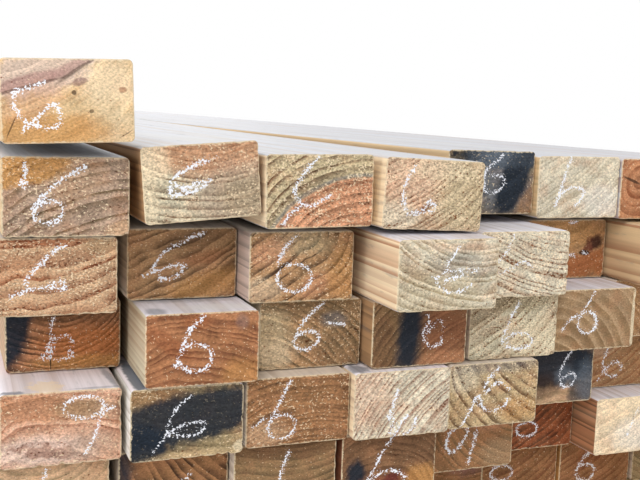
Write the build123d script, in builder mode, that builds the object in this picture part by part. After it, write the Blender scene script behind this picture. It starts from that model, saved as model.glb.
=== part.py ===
"""Stack of dressed softwood framing boards, eight layers of eight, with one loose board on top.

Every board is the same stock: 70 x 45 mm, 6 m long, planed on four sides with eased arrises and
cross-cut square at both ends. The ends that face -Y are the near ones. X runs across the stack, from
the left board of a layer to the right one, Y along the boards and Z up. The origin is the centre of
the stack's footprint, on the floor.
"""
import os
from dataclasses import dataclass, field

from build123d import *

# Board stock, in millimetres
board_width = 70
board_thickness = 45
board_length = 6000
arris_radius = 3

# Stacking
layer_clearance = 0.6    # saw marks and slight cup keep two layers this far apart

# A board that has sprung up at its near end comes down flat again after this length
spring_length = 1600
spring_steps = 4         # straight stretches that the curve of a sprung end is built from


@dataclass
class Layer:
    """One layer of the stack, read off at its near end, from the left board to the right one."""

    start: float                                # left side of the first board
    gaps: tuple                                 # free space between one board and the next
    setbacks: tuple                             # near end behind (+) or in front of (-) the line
    sprung: dict = field(default_factory=dict)  # board number: (lift, tilt in degrees) of its end

    def lefts(self):
        """Left side of each board."""
        places = [self.start]
        for gap in self.gaps:
            places.append(places[-1] + board_width + gap)
        return places

    def right(self):
        """Right side of the last board."""
        return self.lefts()[-1] + board_width


# Bottom layer first
layers = (
    Layer(start=-3, gaps=(0.6, 2, 4, 1, 3, 5, 2), setbacks=(8, -4, 12, 2, 16, -6, 10, 4)),
    Layer(start=-8, gaps=(4, 0.6, 6, 2, 0.6, 4, 3), setbacks=(-2, 10, 4, -8, 6, 14, 0, 12)),
    Layer(start=-6, gaps=(5, 2, 3, 4, 2, 3, 2), setbacks=(6, 16, -4, 20, 66, 70, 70, 68)),
    Layer(start=-12, gaps=(6, 1, 4, 9, 1, 1, 2), setbacks=(5, 9, 0, 0, 27, 52, 24, 10)),
    Layer(start=-6, gaps=(3, 3, 1, 1, 1, 1, 3), setbacks=(-3, -12, -7, -12, -9, 23, 50, 18)),
    Layer(start=0, gaps=(5, 7, 2, 4, 3, 2, 1), setbacks=(39, -15, 7, -7, -4, 3, 30, 8)),
    Layer(start=-10, gaps=(11, 1, 10, 3, 5, 3, 2), setbacks=(-9, 24, 0, -45, -17, 42, -4, 15)),
    Layer(
        start=-4,
        gaps=(6, 3, 5, 1, 1, 1, 4),
        setbacks=(-13, -18, -20, -25, 25, 21, 20, 6),
        sprung={2: (9, 4.5), 3: (4, 0.8), 4: (2, -2.4), 5: (6, -0.5), 6: (3, 0), 7: (2, 0)},
    ),
)

# The loose board lies over the first board of the top layer
top_board_left = -5
top_board_setback = -30
top_board_spring = (7.5, 2)

layer_pitch = board_thickness + layer_clearance

# Footprint of the whole stack, which is centred on the origin
left_side = min(layer.start for layer in layers)
right_side = max(layer.right() for layer in layers)
all_setbacks = [setback for layer in layers for setback in layer.setbacks] + [top_board_setback]
near_end = min(all_setbacks)
far_end = max(all_setbacks) + board_length
centre_x = (left_side + right_side) / 2
centre_y = (near_end + far_end) / 2


def section(x, y, z, tilt=0):
    """Cross-section of a board with eased arrises, centred on x and z, turned tilt degrees."""
    with BuildSketch(Plane.XZ.offset(-y)) as outline:
        with Locations((x, z)):
            RectangleRounded(board_width, board_thickness, arris_radius, rotation=tilt)
    return outline.sketch


def board(left, setback, layer_index, spring=(0, 0)):
    """Add one board to the part that is being built."""
    lift, tilt = spring
    x = left + board_width / 2 - centre_x
    y = setback - centre_y
    z = layer_index * layer_pitch + board_thickness / 2
    straight_start = y
    if lift or tilt:
        bent_sections = []
        for step in range(spring_steps + 1):
            along = step / spring_steps
            bend = (1 - along) ** 2
            bent_sections.append(
                section(x, y + along * spring_length, z + bend * lift, bend * tilt)
            )
        loft(bent_sections, ruled=True)
        straight_start = y + spring_length
    extrude(section(x, straight_start, z), amount=straight_start - (y + board_length))


os.makedirs("parts", exist_ok=True)

for layer_index, layer in enumerate(layers):
    with BuildPart() as board_layer:
        for number, (left, setback) in enumerate(zip(layer.lefts(), layer.setbacks), start=1):
            board(left, setback, layer_index, layer.sprung.get(number, (0, 0)))
    board_layer.part.label = f"board_layer_{layer_index + 1}"
    export_step(board_layer.part, f"parts/{board_layer.part.label}.step")

with BuildPart() as top_board:
    board(top_board_left, top_board_setback, len(layers), top_board_spring)
top_board.part.label = "top_board"
export_step(top_board.part, "parts/top_board.step")

print("footprint", right_side - left_side, "x", far_end - near_end)
print("centre", centre_x, centre_y)
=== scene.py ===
"""Looks of a stack of dressed softwood boards whose near ends are marked with a chalk 6.

Each board is one piece: a skin with a torn, rough-sawn end, eased arrises and planed faces, laid over
the solid that the frame gives for it. Lengths are in metres, apart from those that describe the wood
of one board, which are in millimetres from the middle of its near end: x to the right, z up.
"""
import math
import random
from dataclasses import dataclass

import bpy
import numpy as np
from mathutils import Matrix, Vector


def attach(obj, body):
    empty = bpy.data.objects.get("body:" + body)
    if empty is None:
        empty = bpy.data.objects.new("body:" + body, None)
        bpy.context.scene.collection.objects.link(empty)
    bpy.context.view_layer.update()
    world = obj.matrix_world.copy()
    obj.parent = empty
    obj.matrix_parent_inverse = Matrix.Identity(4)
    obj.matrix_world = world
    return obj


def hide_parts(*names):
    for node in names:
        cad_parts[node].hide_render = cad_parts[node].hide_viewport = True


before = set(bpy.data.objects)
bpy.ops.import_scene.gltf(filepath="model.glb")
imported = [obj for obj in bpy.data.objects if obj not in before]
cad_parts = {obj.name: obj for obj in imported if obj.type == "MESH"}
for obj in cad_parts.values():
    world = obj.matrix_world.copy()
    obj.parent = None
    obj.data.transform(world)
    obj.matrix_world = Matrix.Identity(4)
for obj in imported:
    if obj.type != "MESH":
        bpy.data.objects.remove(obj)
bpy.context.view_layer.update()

mm = 0.001
touch = 0.1 * mm    # two places that are nearer than this are the same

# Tones by name, as they look on a screen, from 0 to 255
tones = {
    # frost, lilac and pale lilac, the near-white bluish tones of the tops, are pale planed wood with
    # painted cool light from above
    "white": (236, 234, 230), "frost": (202, 204, 210), "planed": (220, 208, 194),
    "bright cream": (244, 222, 188), "cream": (228, 210, 178), "bone": (216, 206, 184),
    "pale olive": (206, 196, 170), "sage": (188, 172, 138), "sand": (214, 190, 160),
    "straw": (224, 194, 150), "tan": (202, 166, 132), "pale pink": (218, 196, 184),
    "pink": (212, 168, 142), "salmon": (204, 148, 116), "copper": (184, 130, 94),
    "orange": (192, 118, 66), "gold": (196, 144, 84), "rust": (148, 84, 52),
    "light brown": (176, 138, 100), "brown": (154, 112, 76), "red brown": (128, 78, 54),
    "grey brown": (176, 150, 130), "pale grey": (184, 166, 150), "olive": (154, 136, 102),
    "dark olive": (112, 92, 66), "dark brown": (102, 72, 50), "umber": (58, 40, 30),
    "black": (30, 39, 50), "slate": (96, 105, 116), "plum": (124, 90, 92),
    "mauve": (170, 128, 122), "terracotta": (208, 152, 118), "olive brown": (146, 116, 82),
    "wine": (96, 44, 40), "chestnut": (168, 116, 80), "khaki": (170, 142, 110),
    # lilac and pale lilac, like frost, are pale planed wood with painted cool light from above
    "golden olive": (188, 164, 126), "walnut": (124, 92, 66), "lilac": (234, 231, 238),
    "pale lilac": (244, 238, 244), "chalk": (240, 243, 252),
}


def linear(name):
    """A named tone as the shader wants it."""
    def channel(value):
        share = value / 255
        return share / 12.92 if share <= 0.04045 else ((share + 0.055) / 1.055) ** 2.4

    return (*(channel(value) for value in tones[name]), 1.0)


# The boards as the frame has them


@dataclass
class Board:
    """One board of the frame: its section, and the places that its axis goes through."""

    name: str
    node: str
    width: float
    height: float
    stations: np.ndarray  # one row each: y, x, z and the section's tilt in radians

    @property
    def near(self):
        return self.stations[0, 0]

    @property
    def length(self):
        return self.stations[-1, 0] - self.stations[0, 0]


def solids_of(mesh):
    """The points of each separate solid in a mesh, from the smallest x to the largest."""
    points = np.array([vertex.co for vertex in mesh.vertices])
    _, where = np.unique(points.round(6), axis=0, return_inverse=True)
    where = where.ravel()
    group = np.arange(where.max() + 1)

    def root(item):
        while group[item] != item:
            group[item] = group[group[item]]
            item = group[item]
        return item

    for face in mesh.polygons:
        first = root(where[face.vertices[0]])
        for other in face.vertices[1:]:
            group[root(where[other])] = first
    roots = np.array([root(item) for item in where])
    found = [np.unique(points[roots == item].round(6), axis=0) for item in set(roots)]
    return sorted(found, key=lambda solid: solid[:, 0].mean())


def read_board(name, node, points):
    """A board from its solid's points. Wherever those make a whole section, the axis has a station."""
    def section_at(y):
        return points[np.abs(points[:, 1] - y) < touch][:, [0, 2]]

    last = section_at(points[:, 1].max())
    width, height = (last.max(0) - last.min(0)).tolist()
    stations = []
    for y in np.unique(points[:, 1].round(4)):
        section = section_at(y)
        if len(section) < len(last):
            continue
        middle = (section.max(0) + section.min(0)) / 2
        spread = section - section.mean(0)
        _, axes = np.linalg.eigh(spread.T @ spread)
        across = axes[:, 1] * np.sign(axes[0, 1])
        stations.append((y, *middle, math.atan2(across[1], across[0])))
    return Board(name, node, width, height, np.array(stations))


def read_boards():
    """Every board of the frame. Its name has the layer from the bottom and the place from the left."""
    found = []
    for node_name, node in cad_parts.items():
        solids = solids_of(node.data)
        for number, points in enumerate(solids, start=1):
            stacked = f"{node_name.replace('_layer', '')}_{number}"
            name = stacked if len(solids) > 1 else "loose_board"
            found.append(read_board(name, node_name, points))
    return found


# Skin of a board: how finely its parts are divided

arris_radius = 3 * mm
arris_cells = 3                 # from the end of a flat face to the middle of an arris
rim_cell = 1 * mm               # narrow cell beside each arris, so that the flat faces shade flat
near_cells = (56, 36)           # across the flat part of the width and of the height
far_cells = (32, 20)
side_cells = (4, 2)
near_rings = (0.5 * mm, 1.6 * mm, 4 * mm, 9 * mm)   # behind the near end
far_rings = (9 * mm, 0.5 * mm)                       # before the far end
first_span = 16 * mm
side_spans = 26
span_growth = 1.3               # above 1, the spans get longer away from the near end

# Map for baked finishes: left, bottom, width and height of each part, as shares of the map's size
near_map = (0.0, 0.0, 0.78, 0.502)
far_map = (0.80, 0.0, 0.195, 0.1255)
side_map = (0.0, 0.52, 1.0, 0.47)
side_map_pull = 0.55            # below 1, the near part of the sides gets more of the map


def grid_lines(size, cells):
    """Places of the grid's lines across one side of the section."""
    arris = np.linspace(0, arris_radius, arris_cells + 1)
    flat = np.linspace(arris_radius + rim_cell, size - arris_radius - rim_cell, cells + 1)
    return np.concatenate([arris, flat, (size - arris)[::-1]]) - size / 2


def section_grid(width, height, cells):
    """Points of a grid that fills the rounded section: [column, row] gives x and z."""
    x, z = np.meshgrid(grid_lines(width, cells[0]), grid_lines(height, cells[1]), indexing="ij")
    past_x = np.maximum(np.abs(x) - (width / 2 - arris_radius), 0)
    past_z = np.maximum(np.abs(z) - (height / 2 - arris_radius), 0)
    reach = np.hypot(past_x, past_z)
    pull = np.maximum(past_x, past_z) / np.where(reach > 0, reach, 1)
    pull = np.where(reach > 0, pull, 1)
    x = x - np.sign(x) * past_x * (1 - pull)
    z = z - np.sign(z) * past_z * (1 - pull)
    return np.stack([x, z], axis=-1)


def outline_of(grid):
    """Grid places once round the section, from the lower left corner to the right."""
    columns, rows = grid.shape[0] - 1, grid.shape[1] - 1
    bottom = [(column, 0) for column in range(columns)]
    right = [(columns, row) for row in range(rows)]
    top = [(columns - column, rows) for column in range(columns)]
    left = [(0, rows - row) for row in range(rows)]
    return bottom + right + top + left


def kept_on_sides(cells):
    """Which points of an outline the coarse sides keep."""
    kept, start = [], 0
    for side, count in enumerate(cells * 2):
        flat_start = arris_cells + 1
        parts = side_cells[side % 2]
        kept += [start + place for place in range(flat_start + 1)]
        kept += [start + flat_start + count * part // parts for part in range(1, parts)]
        kept += [start + flat_start + count + place for place in range(flat_start)]
        start += count + 2 * flat_start
    return kept


class Skin:
    """Points, faces and map places of a straight board that starts at y = 0."""

    def __init__(self, width, height, length):
        self.width, self.height, self.length = width, height, length
        self.points, self.faces, self.places = [], [], []
        rings = [self.end(near_cells, 0, near_map)]
        rings += [self.ring(near_cells, y) for y in near_rings]
        self.near_points = len(self.points)
        self.bands(rings)
        sides = []
        for step in range(side_spans + 1):
            share = (step / side_spans) ** span_growth
            y = first_span + share * (length - 2 * first_span)
            sides.append(self.ring(near_cells, y, kept_on_sides(near_cells)))
        self.stitch(rings[-1], sides[0], kept_on_sides(near_cells))
        self.bands(sides)
        rings = [self.ring(far_cells, length - y) for y in far_rings]
        rings.append(self.end(far_cells, length, far_map))
        self.stitch(rings[0], sides[-1], kept_on_sides(far_cells), far=True)
        self.bands(rings)
        self.points = np.array(self.points)
        rim = max(near_rings[0], far_rings[-1]) + touch
        y = self.points[:, 1]
        near_or_far = (y < rim) | (y > length - rim)
        self.on_end = np.array([near_or_far[face].all() for face in self.faces], int)

    def end(self, cells, y, map_part):
        """Add one end face. Returns its outline."""
        grid = section_grid(self.width, self.height, cells)
        first = len(self.points)
        self.points += [(x, y, z) for x, z in grid.reshape(-1, 2)]

        def index(column, row):
            return first + column * grid.shape[1] + row

        def place(column, row):
            x, z = grid[column, row]
            across = (x / self.width + 0.5) if y == 0 else (0.5 - x / self.width)
            left, bottom, map_width, map_height = map_part
            return left + map_width * across, bottom + map_height * (z / self.height + 0.5)

        for column, row in np.ndindex(grid.shape[0] - 1, grid.shape[1] - 1):
            corners = [(column, row), (column + 1, row), (column + 1, row + 1), (column, row + 1)]
            corners = corners if y == 0 else corners[::-1]
            self.faces.append([index(*corner) for corner in corners])
            self.places.append([place(*corner) for corner in corners])
        shares = self.shares(grid)
        return [(index(*corner), y, share) for corner, share in zip(outline_of(grid), shares)]

    def shares(self, grid):
        """How far round the section each point of the outline lies, from 0 to 1."""
        outline = np.array([grid[corner] for corner in outline_of(grid)])
        steps = np.hypot(*(np.roll(outline, -1, axis=0) - outline).T)
        return np.concatenate([[0], np.cumsum(steps)[:-1]]) / steps.sum()

    def ring(self, cells, y, kept=None):
        """Add the section's outline at y. Returns (point, y, share of the way round) for each."""
        grid = section_grid(self.width, self.height, cells)
        outline = outline_of(grid)
        shares = self.shares(grid)
        found = []
        for place in kept or range(len(outline)):
            x, z = grid[outline[place]]
            found.append((len(self.points), y, shares[place]))
            self.points.append((x, y, z))
        return found

    def side_place(self, corner, past_seam):
        """Map place of a point on the sides."""
        _, y, share = corner
        left, bottom, map_width, map_height = side_map
        along = (y / self.length) ** side_map_pull
        return left + map_width * along, bottom + map_height * (1.0 if past_seam else share)

    def add_side_face(self, corners):
        """Add a face whose corners may reach past the outline's first point."""
        over_seam = max(corner[2] for corner in corners) > 0.5
        self.faces.append([corner[0] for corner in corners])
        self.places.append([
            self.side_place(corner, over_seam and corner[2] == 0) for corner in corners
        ])

    def bands(self, rings):
        """Join each ring to the next, which has as many points."""
        for one, other in zip(rings, rings[1:]):
            for place in range(len(one)):
                following = (place + 1) % len(one)
                self.add_side_face([one[place], other[place], other[following], one[following]])

    def stitch(self, fine, coarse, kept, far=False):
        """Join a fine ring to a coarse one that has only the kept places of it."""
        for number, start in enumerate(kept):
            following = (number + 1) % len(kept)
            stop = kept[following] if following else len(fine)
            middle = (start + stop) // 2
            triangles = []
            for place in range(start, stop):
                tip = coarse[number] if place < middle else coarse[following]
                triangles.append([fine[place], tip, fine[(place + 1) % len(fine)]])
            triangles.append([fine[middle % len(fine)], coarse[number], coarse[following]])
            for triangle in triangles:
                self.add_side_face(triangle[::-1] if far else triangle)


def soft_noise(points, cell, seed):
    """Smooth noise from -1 to 1 whose hills are about a cell wide."""
    count = 32
    lattice = np.random.default_rng(seed).uniform(-1, 1, (count, count, count))
    scaled = points / cell + count / 2
    base = np.floor(scaled).astype(int)
    part = scaled - base
    part = part * part * (3 - 2 * part)
    total = np.zeros(len(points))
    for corner in np.ndindex(2, 2, 2):
        weight = np.prod(np.where(corner, part, 1 - part), axis=1)
        total += weight * lattice[tuple(((base + corner) % count).T)]
    return total


# How the wood of one board looks


@dataclass
class Patch:
    """A stain or a change of tone."""

    tone: str
    at: tuple
    size: tuple             # half its width and half its height
    cover: float            # how much of the wood it hides
    turn: float = 0         # degrees, anticlockwise
    blend: float = 0.9      # width of its soft edge, as a share of its size
    ragged: float = 0.35    # how far noise moves its edge, as a share of its size


@dataclass
class Look:
    """The wood of one board, and what was done to it."""

    wood: str = "tan"           # pale wood of a year ring
    line: str = "brown"         # dark wood of a year ring
    pith: tuple = (0, -90)      # where the tree's middle was
    ring: float = 5.5           # width of a year ring
    depth: float = 0.5          # how dark the dark wood gets
    thin: float = 1.5           # above 1, the dark wood is a thinner line
    sway: float = 2.0           # how far the rings wander
    fork: tuple = None          # x and z of a second middle, and how much nearer it counts
    heart: tuple = None         # radius of the heartwood, its tone, and the tone of its edge
    torn: float = 0.6           # amount of torn fibre ends
    pitted: float = 0.35        # how far the pits keep to the dark wood
    edge_wear: float = 0.5      # how badly the saw tore the end's outline
    # the bluish white planed tones (frost, lilac, pale lilac) are partly painted cool light from above
    planed: str = "planed"      # tone of the top and bottom face
    flank: str = None           # tone of the two sides, where it is another one
    band: str = None            # tone of the rings on the two sides, where it is another one
    bands: float = 0.5          # how dark the rings are on the two sides
    light: float = 0            # how much lighter than usual the chalk was pressed
    patches: tuple = ()         # stains on the near end
    on_top: tuple = ()          # stains on the top face, and painted shadow at the back of board_6_2's, at x and the distance from the near end
    marks: tuple = ()           # chalk strokes


def curve(*points, steps=14):
    """A stroke: a smooth curve through the points."""
    control = np.array([points[0], *points, points[-1]], float)
    share = np.linspace(0, 1, steps, endpoint=False)[:, None]
    pieces = []
    for a, b, c, d in zip(control, control[1:], control[2:], control[3:]):
        bend = 2 * a - 5 * b + 4 * c - d + share * (3 * (b - c) + d - a)
        pieces.append(b + 0.5 * share * (c - a + share * bend))
    return np.concatenate([*pieces, [control[-1]]])


def bowl(x, z, half_width, half_height, turn=0, start=100, sweep=340, steps=48):
    """A stroke: the round part of a 6, anticlockwise from an angle, all angles in degrees."""
    angle = np.radians(np.linspace(start, start + sweep, steps))
    turned = math.radians(turn)
    across, up = half_width * np.cos(angle), half_height * np.sin(angle)
    return np.stack([
        x + across * math.cos(turned) - up * math.sin(turned),
        z + across * math.sin(turned) + up * math.cos(turned),
    ], axis=1)


def plain_six(chance):
    """Chalk strokes of a 6 written in a hurry, somewhere on the end."""
    x, z = chance.uniform(-8, 10), chance.uniform(-9, -4)
    half_width, half_height = chance.uniform(7, 11), chance.uniform(4.5, 7)
    top_x, top_z = x + chance.uniform(4, 18), chance.uniform(11, 19)
    left = x - half_width
    bend = ((left + top_x) / 2 - 2, (top_z + z) / 2 + 3)
    stem = curve((top_x, top_z), bend, (left, z + 2), (left + 1, z - 2))
    turn, sweep = chance.uniform(0, 25), chance.uniform(290, 350)
    return stem, bowl(x, z, half_width, half_height, turn=turn, start=150, sweep=sweep)


# Looks are given by board: the layer from the bottom, then the place from the left
looks = {
    "loose_board": Look(
        wood="straw", line="gold", pith=(-45, 75), ring=3.4, depth=0.35, torn=0.32, edge_wear=0.2,
        planed="white", flank="straw",
        patches=(
            Patch("bright cream", (22, 9), (15, 14), 0.6), Patch("cream", (24, -14), (13, 9), 0.5),
            Patch("pale pink", (-12, 17), (30, 13), 0.75, turn=20, blend=0.5),
            Patch("mauve", (-20, 10.5), (20, 3.5), 0.7, turn=15, blend=0.8),
            Patch("gold", (-10, -16), (34, 9), 0.75), Patch("salmon", (-20, 0), (18, 8), 0.4, turn=20),
            Patch("mauve", (3, 18.5), (14, 3), 0.55, turn=32, blend=0.8),
            Patch("umber", (-19, 8), (18, 0.9), 0.55, turn=15, blend=0.8),
            Patch("umber", (4, 16), (12, 1.1), 0.6, turn=34, blend=0.8),
            Patch("plum", (6, 10), (4, 2), 0.65, turn=20, blend=0.5),
            Patch("olive", (21, -6), (7, 9), 0.25), Patch("umber", (3, 4.5), (1.3, 1.3), 0.8, blend=0.5),
            Patch("umber", (12, -5.5), (1.3, 1.1), 0.7, blend=0.5),
            Patch("rust", (29, 6), (2.2, 1.6), 0.6, blend=0.5),
            Patch("umber", (-30, -14), (0.4, 6), 0.7, turn=-25, blend=0.5),
            Patch("umber", (30, -18), (0.3, 4), 0.6, turn=-60, blend=0.5),
        ),
        marks=(
            curve((-12, 10), (-20, 7), (-27, 4), (-28, -3), (-22, -11)),
            curve((-24, -15), (-18, -10), (-8, -2), (-4, -9), (-6, -13), (-12, -14), (-20, -12)),
        ),
    ),
    "board_8_1": Look(
        wood="grey brown", line="dark olive", pith=(40, -110), ring=6, depth=0.78, thin=2.2, torn=0.7,
        edge_wear=0.7, planed="frost", flank="straw",
        patches=(
            Patch("gold", (-24, 17), (27, 11), 0.85, turn=8, blend=0.4),
            Patch("tan", (30, -18), (9, 4), 0.7, turn=15, blend=0.5),
            Patch("tan", (5, 8), (16, 10), 0.3, turn=20),
        ),
        marks=(
            curve((10, 17), (-4, 9), (-12, 1), (-18, -6)), bowl(-10, -8.5, 8, 6, turn=15, start=170),
            curve((-22.2, 18), (-22.6, 7)), curve((-24.4, 8), (-22.6, 5.5), (-21, 8.4)),
        ),
    ),
    "board_8_2": Look(
        wood="pale olive", line="dark olive", pith=(5, 75), ring=4.6, depth=0.8, thin=1.9, torn=0.75,
        edge_wear=0.6, planed="frost", flank="light brown", band="dark brown", bands=0.8,
        patches=(
            Patch("copper", (8, 17), (40, 14), 0.8, turn=-2),
            Patch("grey brown", (22, -8), (28, 18), 0.6), Patch("olive", (28, -10), (18, 12), 0.4),
            Patch("cream", (-34, -3), (8, 30), 0.7, blend=0.8),
            Patch("bright cream", (-28, 13), (9, 11), 0.5),
        ),
        marks=(
            curve((8, 14), (-7, 9), (-18, 2), (-19, -6)), curve((-19, -6), (-11, -6), (-3, -4), (4, 0)),
            curve((-17, 0), (-10, -2), (-4, 0), (2, 0)), curve((-13, -1), (-10, -5), (-6, -1), (-3, -3)),
        ),
    ),
    "board_8_3": Look(
        wood="sage", line="dark brown", pith=(31, -66), ring=6.5, depth=1.0, thin=2.4,
        heart=(74, "terracotta", "slate"), torn=0.95, planed="frost", flank="bright cream",
        band="light brown",
        marks=(
            curve((-2, 21), (-9, 13), (-14, 7), (-17, 0), (-15, -4)),
            curve((-12, -8), (-20, -14), (-24, -20)), curve((-14, -6), (-7, -9), (0, -6), (6, -3)),
        ),
    ),
    "board_8_4": Look(
        wood="sand", pith=(-75, 100), ring=4.2, depth=0.65, torn=0.9, pitted=0.8, planed="frost",
        flank="bright cream", band="light brown",
        patches=(
            Patch("bone", (-26, -14), (14, 9), 0.6), Patch("pink", (-16, 8), (26, 16), 0.5),
            Patch("sage", (22, 0), (20, 24), 0.7), Patch("cream", (4, 16), (20, 6), 0.45),
        ),
        marks=(
            curve((-15, 17), (-20, 9), (-22, -1), (-19, -11)),
            curve((-17, -13), (-8, -9), (-3, -4), (1, -7)), curve((-12, -12), (-1, -10)),
        ),
    ),
    "board_8_5": Look(
        wood="olive", line="dark brown", pith=(-50, 90), ring=6, torn=0.5, planed="frost", flank="straw",
        light=0.3,
        patches=(
            Patch("black", (14, 19), (50, 9), 0.96, blend=0.5, ragged=0.3),
            Patch("brown", (30, -14), (9, 13), 0.8, blend=0.8),
            Patch("slate", (6, 4), (26, 28), 0.8, turn=-20),
            Patch("black", (18, 1), (11, 28), 0.96, turn=-20, blend=0.5, ragged=0.2),
            Patch("slate", (16, 17), (20, 6), 0.3),
        ),
        marks=(
            curve((8, 20), (4, 15), (-3, 11), (-6, 3), (-5, -6)),
            bowl(2, -1, 9, 5.5, turn=20, start=190, sweep=250),
        ),
    ),
    "board_8_6": Look(
        wood="bone", line="olive", pith=(-80, 110), ring=4.5, depth=0.36, torn=0.4, planed="frost",
        flank="straw",
        patches=(Patch("white", (20, -10), (16, 12), 0.35),),
        marks=(
            curve((-8, 21), (-13, 7), (-19, -13)),
            curve((-18, -8), (-12, -3), (-4, 0), (4, -2), (3, -8), (-2, -13)),
        ),
    ),
    "board_8_7": Look(
        wood="copper", line="rust", pith=(-18, 4), ring=6, depth=0.7, torn=0.3, planed="frost",
        patches=(
            Patch("umber", (-24, 6), (9, 1), 0.8, turn=-20, blend=0.5),
            Patch("umber", (-14, 0), (1, 10), 0.7, turn=15, blend=0.5),
        ),
        marks=(curve((12, 14), (6, 6), (4, -4)), bowl(11, -5, 8, 6)),
    ),
    "board_8_8": Look(pith=(-60, 90), planed="frost", flank="straw"),
    "board_7_1": Look(
        line="rust", pith=(-25, 140), ring=7.5, depth=0.7, thin=1.3, sway=4, torn=0.9, pitted=0.7,
        flank="sand", band="light brown",
        patches=(
            Patch("rust", (-6, 21), (22, 3.5), 0.7), Patch("copper", (-22, 6), (20, 7), 0.45, turn=8),
            Patch("olive", (25, 18), (10, 5), 0.4),
        ),
        marks=(
            curve((6, 18), (0, 15), (-7, 8), (-12, 3), (-16, -2), (-14, -7)),
            curve((-24, -11), (-14, -7), (-4, -6), (4, -7), (4, -3), (-1, -3), (-2, -7)),
        ),
    ),
    "board_7_2": Look(
        wood="light brown", line="umber", pith=(-70, 150), ring=6, depth=0.62, thin=1.2, sway=4, torn=0.4,
        patches=(
            Patch("umber", (6, 17), (26, 6), 0.45, turn=12),
            Patch("gold", (16, -14), (26, 8), 0.5, turn=15),
            Patch("rust", (14, 4), (15, 4), 0.35, turn=14),
        ),
        marks=(
            curve((13, 19), (4, 16), (-4, 12), (-11, 8), (-17, 1), (-19, -5)),
            curve((-25, -7), (-19, -5), (-10, -2), (-2, -1), (1, -3), (-6, -9), (-14, -9)),
        ),
    ),
    "board_7_3": Look(
        wood="light brown", line="umber", pith=(0, 22), ring=6, depth=0.95, thin=3.5, sway=0.8,
        fork=(-75, 85, -94), flank="pale pink",
        patches=(
            Patch("sage", (0, 15), (20, 8), 0.5), Patch("brown", (8, -16), (22, 8), 0.45),
            Patch("salmon", (-22, 10), (14, 8), 0.5, turn=20),
            Patch("salmon", (8, -12), (10, 7), 0.35, turn=30), Patch("gold", (28, -6), (10, 18), 0.35),
            Patch("sand", (-27, -14), (13, 8), 0.5),
        ),
        marks=(curve((-4, 20), (-12, 12), (-16, 3)), bowl(-5, -7, 11.5, 9, start=150, sweep=320)),
    ),
    "board_7_4": Look(
        wood="bone", line="olive", pith=(20, 75), ring=4.8, depth=0.7, thin=0.9, pitted=0.2,
        edge_wear=0.6, planed="lilac", flank="bright cream", band="copper", bands=0.95, light=0.45,
        patches=(
            Patch("sage", (-10, -10), (30, 18), 0.35), Patch("salmon", (12, 17), (22, 3), 0.25),
            Patch("slate", (8, 6), (24, 8), 0.3, turn=-5),
        ),
        marks=(
            curve((6, 17), (1, 10), (-4, 3), (-8, -2)), curve((-10, -1), (-4, -9), (6, -11), (16, -7)),
            curve((-6, 1), (4, 3), (20, 3), (8, -1), (-2, -3)),
        ),
    ),
    "board_7_5": Look(
        wood="bone", pith=(40, 120), ring=4.2, depth=0.55, thin=3.6, torn=0.85, pitted=1.1, edge_wear=0.9,
        planed="lilac", light=0.4,
        marks=(curve((-10, 21), (-14, 10), (-20, 2)), curve((-24, -6), (-12, -3), (-2, 2), (6, -2))),
    ),
    "board_7_6": Look(
        wood="light brown", line="dark olive", pith=(-10, 60), ring=7, torn=0.3,
        patches=(
            Patch("gold", (0, 12), (34, 12), 0.4),
            Patch("orange", (16, -13), (32, 10), 0.6, turn=12, ragged=0.8),
            Patch("rust", (14, -12), (30, 8), 0.5, turn=12, ragged=0.8),
            Patch("wine", (24, 4), (9, 5), 0.85, turn=35, ragged=1.0),
            Patch("umber", (27, 5), (5, 5), 0.8), Patch("umber", (16, -3), (5, 2), 0.9, blend=0.5),
        ),
        marks=(curve((3, -4), (8, -5)), curve((15, -3), (19, -4)), curve((2, 20), (8, 21))),
    ),
    "board_7_7": Look(
        line="copper", pith=(30, 60), ring=7, depth=0.7, planed="straw", flank="straw", band="rust",
        bands=0.95,
    ),
    "board_6_1": Look(
        wood="copper", line="umber", pith=(-5, 40), ring=3.6, depth=0.85, thin=1.2, torn=0.35,
        planed="pink", flank="tan", light=0.35,
        patches=(
            Patch("orange", (14, -6), (28, 12), 0.65), Patch("gold", (12, -18), (30, 5), 0.6),
            Patch("umber", (-16, 19), (26, 9), 0.5), Patch("dark brown", (2, 19), (42, 11), 0.75),
            Patch("black", (-33, 6), (13, 28), 0.97, turn=-10, blend=0.6, ragged=0.2),
            Patch("umber", (-8, -16), (0.4, 7), 0.9, blend=0.5),
        ),
        marks=(
            curve((-6, 11), (-8, 4), (-8, -3), (-13, -14)), curve((-8, -3), (1, 0), (6, -5)),
            curve((-7, -7), (-8, -15), (5, -14), (4, -10)),
        ),
    ),
    "board_6_2": Look(
        wood="chestnut", line="red brown", pith=(-10, -110), ring=4.2, depth=0.9, thin=1.3, sway=4,
        torn=0.25, edge_wear=0.3, planed="lilac", flank="pale olive", band="brown", bands=0.6,
        patches=(
            Patch("rust", (-4, 17), (9, 4), 0.45),
            Patch("rust", (-22, 5), (17, 5), 0.45, turn=-35, blend=0.7),
            Patch("gold", (26, -16), (14, 9), 0.4), Patch("slate", (24, 16), (4, 5), 0.3),
        ),
        # The slate patch at the back of the top is partly grey stain and partly painted shadow; the white
        # one lightens the front right
        on_top=(
            Patch("slate", (-4, 46), (36, 14), 0.5), Patch("slate", (-27, 8), (6, 9), 0.5),
            Patch("white", (12, 14), (22, 9), 0.5),
        ),
        marks=(
            curve((0, 20), (-7, 13), (-11, 6), (-14, -2), (-17, -10)),
            bowl(-4.5, -5, 9.5, 8.5, start=150, sweep=365),
        ),
    ),
    "board_6_3": Look(
        wood="light brown", line="dark olive", pith=(-50, -80), ring=5, depth=0.85, torn=0.65,
        patches=(
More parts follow.
